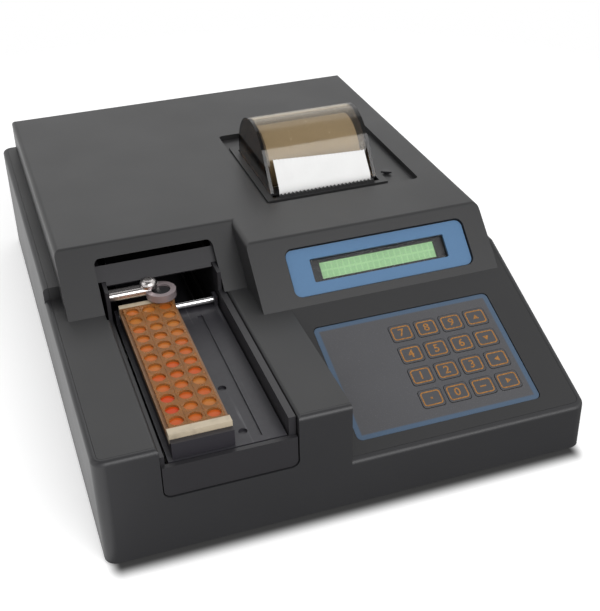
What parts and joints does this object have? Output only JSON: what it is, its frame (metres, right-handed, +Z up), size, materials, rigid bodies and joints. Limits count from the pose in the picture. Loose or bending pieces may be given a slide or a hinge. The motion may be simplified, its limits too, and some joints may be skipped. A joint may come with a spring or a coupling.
{
  "type": "microplate strip reader",
  "caption": "Bench reader for strips of microplate wells: a low wedge-shaped case with a carriage that slides into a tunnel, a display, a keypad and a roll printer.",
  "frame": {"origin": "middle of the footprint of the case, at the bottom of the feet", "axes": "+X towards the keypad side, +Y from the front with the open well to the back, +Z up"},
  "size_m": [0.252, 0.346, 0.12],
  "materials": {
    "case_plastic": "fine-grained dark grey plastic",
    "cover_plastic": "fine-grained dark grey plastic",
    "channel_plastic": "satin grey plastic",
    "plate_paint": "satin dark grey paint",
    "tray_plastic": "dark plastic",
    "frame_plastic": "off-white plastic",
    "well_plastic": "clear moulded polystyrene",
    "sample": "orange liquid",
    "polished_steel": "polished",
    "brushed_steel": "brushed",
    "bezel_blue": "blue surround",
    "clear_pane": "clear pane",
    "lcd_green": "green display panel",
    "black_plastic": "black plastic",
    "overlay_film": "dark grey film with a blue border",
    "key_film": "dark grey key with an orange-brown legend",
    "board_green": "circuit board",
    "smoked_plastic": "smoked clear plastic",
    "white_paper": "printer paper",
    "roller_rubber": "black rubber",
    "foot_rubber": "black rubber",
    "rack_plastic": "white acetal",
    "brass": "machined",
    "motor_black": "black paint",
    "lens_glass": "optical glass",
    "filter_glass": "coloured optical glass",
    "lamp_glass": "clear bulb",
    "core_steel": "varnished steel core",
    "panel_metal": "grey painted panel"
  },
  "bodies": {
    "case": {"lower_case": "case_plastic", "upper_cover": "cover_plastic", "rubber_feet": "foot_rubber", "case_screws": "brushed_steel", "carriage_channel": "channel_plastic", "guide_rods": "polished_steel", "light_baffle": "black_plastic", "detector_arm": "polished_steel", "detector_lens": "lens_glass", "detector_cell": "black_plastic", "lamp_housing": "motor_black", "lamp": "lamp_glass", "filter_motor": "brushed_steel", "drive_motor": "motor_black", "main_board": "board_green", "transformer": "core_steel", "display_bezel": "bezel_blue", "display_window": "clear_pane", "lcd_frame": "black_plastic", "lcd_panel": "lcd_green", "keypad_overlay": "overlay_film", "keypad_board": "board_green", "printer_frame": "black_plastic", "print_head": "black_plastic", "paper_strip": "white_paper", "rear_panel": "panel_metal", "power_inlet": "black_plastic", "serial_port": "brushed_steel"},
    "carriage": {"carriage_plate": "plate_paint", "carriage_bushes": "rack_plastic", "carriage_rack": "rack_plastic", "tray_rod": "polished_steel"},
    "tray": {"strip_tray": "tray_plastic", "strip_frame": "frame_plastic", "well_strips": "well_plastic", "well_samples": "sample"},
    "pinion": {"drive_pinion": "brass"},
    "roll_cover": {"printer_cover": "smoked_plastic"},
    "platen": {"platen_roller": "roller_rubber"},
    "roll": {"paper_roll": "white_paper"},
    "wheel": {"filter_wheel": "motor_black", "colour_filters": "filter_glass"},
    "rocker": {"power_rocker": "black_plastic"},
    "feed": {"feed_button": "black_plastic"},
    "key_1": {"key_1": "key_film"},
    "key_2": {"key_2": "key_film"},
    "key_3": {"key_3": "key_film"},
    "key_4": {"key_4": "key_film"},
    "key_5": {"key_5": "key_film"},
    "key_6": {"key_6": "key_film"},
    "key_7": {"key_7": "key_film"},
    "key_8": {"key_8": "key_film"},
    "key_9": {"key_9": "key_film"},
    "key_10": {"key_10": "key_film"},
    "key_11": {"key_11": "key_film"},
    "key_12": {"key_12": "key_film"},
    "key_13": {"key_13": "key_film"},
    "key_14": {"key_14": "key_film"},
    "key_15": {"key_15": "key_film"},
    "key_16": {"key_16": "key_film"}
  },
  "joints": [
    {"name": "carriage_slide", "type": "slide", "parent": "case", "child": "carriage", "axis": [0, 1, 0], "range_m": [0, 0.11]},
    {"name": "tray_slide", "type": "slide", "parent": "carriage", "child": "tray", "axis": [1, 0, 0], "range_m": [0, 0.018]},
    {"name": "pinion_spin", "type": "hinge", "parent": "case", "child": "pinion", "pos_m": [-0.0505, -0.049, 0.0365], "axis": [1, 0, 0], "continuous": true},
    {"name": "roll_cover_hinge", "type": "hinge", "parent": "case", "child": "roll_cover", "pos_m": [0.0469, 0.0692, 0.0903], "axis": [-1, 0, 0], "range_deg": [0, 90]},
    {"name": "platen_spin", "type": "hinge", "parent": "case", "child": "platen", "pos_m": [0.0469, 0.0053, 0.081], "axis": [1, 0, 0], "continuous": true},
    {"name": "roll_spin", "type": "hinge", "parent": "case", "child": "roll", "pos_m": [0.0469, 0.039, 0.091], "axis": [1, 0, 0], "continuous": true},
    {"name": "wheel_spin", "type": "hinge", "parent": "case", "child": "wheel", "pos_m": [-0.08144, -0.03883, 0.028], "axis": [0, 0, 1], "continuous": true},
    {"name": "rocker_tilt", "type": "hinge", "parent": "case", "child": "rocker", "pos_m": [0.0985, 0.1685, 0.036], "axis": [-1, 0, 0], "range_deg": [0, 14]},
    {"name": "feed_press", "type": "slide", "parent": "case", "child": "feed", "axis": [0, 0, -1], "range_m": [0, 0.0008], "stiffness_N_per_m": 400},
    {"name": "key_1_press", "type": "slide", "parent": "case", "child": "key_1", "axis": [0, 0.3579, -0.9337], "range_m": [0, 0.0005], "stiffness_N_per_m": 800},
    {"name": "key_2_press", "type": "slide", "parent": "case", "child": "key_2", "axis": [0, 0.3579, -0.9337], "range_m": [0, 0.0005], "stiffness_N_per_m": 800},
    {"name": "key_3_press", "type": "slide", "parent": "case", "child": "key_3", "axis": [0, 0.3579, -0.9337], "range_m": [0, 0.0005], "stiffness_N_per_m": 800},
    {"name": "key_4_press", "type": "slide", "parent": "case", "child": "key_4", "axis": [0, 0.3579, -0.9337], "range_m": [0, 0.0005], "stiffness_N_per_m": 800},
    {"name": "key_5_press", "type": "slide", "parent": "case", "child": "key_5", "axis": [0, 0.3579, -0.9337], "range_m": [0, 0.0005], "stiffness_N_per_m": 800},
    {"name": "key_6_press", "type": "slide", "parent": "case", "child": "key_6", "axis": [0, 0.3579, -0.9337], "range_m": [0, 0.0005], "stiffness_N_per_m": 800},
    {"name": "key_7_press", "type": "slide", "parent": "case", "child": "key_7", "axis": [0, 0.3579, -0.9337], "range_m": [0, 0.0005], "stiffness_N_per_m": 800},
    {"name": "key_8_press", "type": "slide", "parent": "case", "child": "key_8", "axis": [0, 0.3579, -0.9337], "range_m": [0, 0.0005], "stiffness_N_per_m": 800},
    {"name": "key_9_press", "type": "slide", "parent": "case", "child": "key_9", "axis": [0, 0.3579, -0.9337], "range_m": [0, 0.0005], "stiffness_N_per_m": 800},
    {"name": "key_10_press", "type": "slide", "parent": "case", "child": "key_10", "axis": [0, 0.3579, -0.9337], "range_m": [0, 0.0005], "stiffness_N_per_m": 800},
    {"name": "key_11_press", "type": "slide", "parent": "case", "child": "key_11", "axis": [0, 0.3579, -0.9337], "range_m": [0, 0.0005], "stiffness_N_per_m": 800},
    {"name": "key_12_press", "type": "slide", "parent": "case", "child": "key_12", "axis": [0, 0.3579, -0.9337], "range_m": [0, 0.0005], "stiffness_N_per_m": 800},
    {"name": "key_13_press", "type": "slide", "parent": "case", "child": "key_13", "axis": [0, 0.3579, -0.9337], "range_m": [0, 0.0005], "stiffness_N_per_m": 800},
    {"name": "key_14_press", "type": "slide", "parent": "case", "child": "key_14", "axis": [0, 0.3579, -0.9337], "range_m": [0, 0.0005], "stiffness_N_per_m": 800},
    {"name": "key_15_press", "type": "slide", "parent": "case", "child": "key_15", "axis": [0, 0.3579, -0.9337], "range_m": [0, 0.0005], "stiffness_N_per_m": 800},
    {"name": "key_16_press", "type": "slide", "parent": "case", "child": "key_16", "axis": [0, 0.3579, -0.9337], "range_m": [0, 0.0005], "stiffness_N_per_m": 800}
  ],
  "couplings": [
    {"joint": "pinion_spin", "follows": "carriage_slide", "rad_per_m": -125},
    {"joint": "roll_spin", "follows": "platen_spin", "ratio": 0.23913}
  ]
}
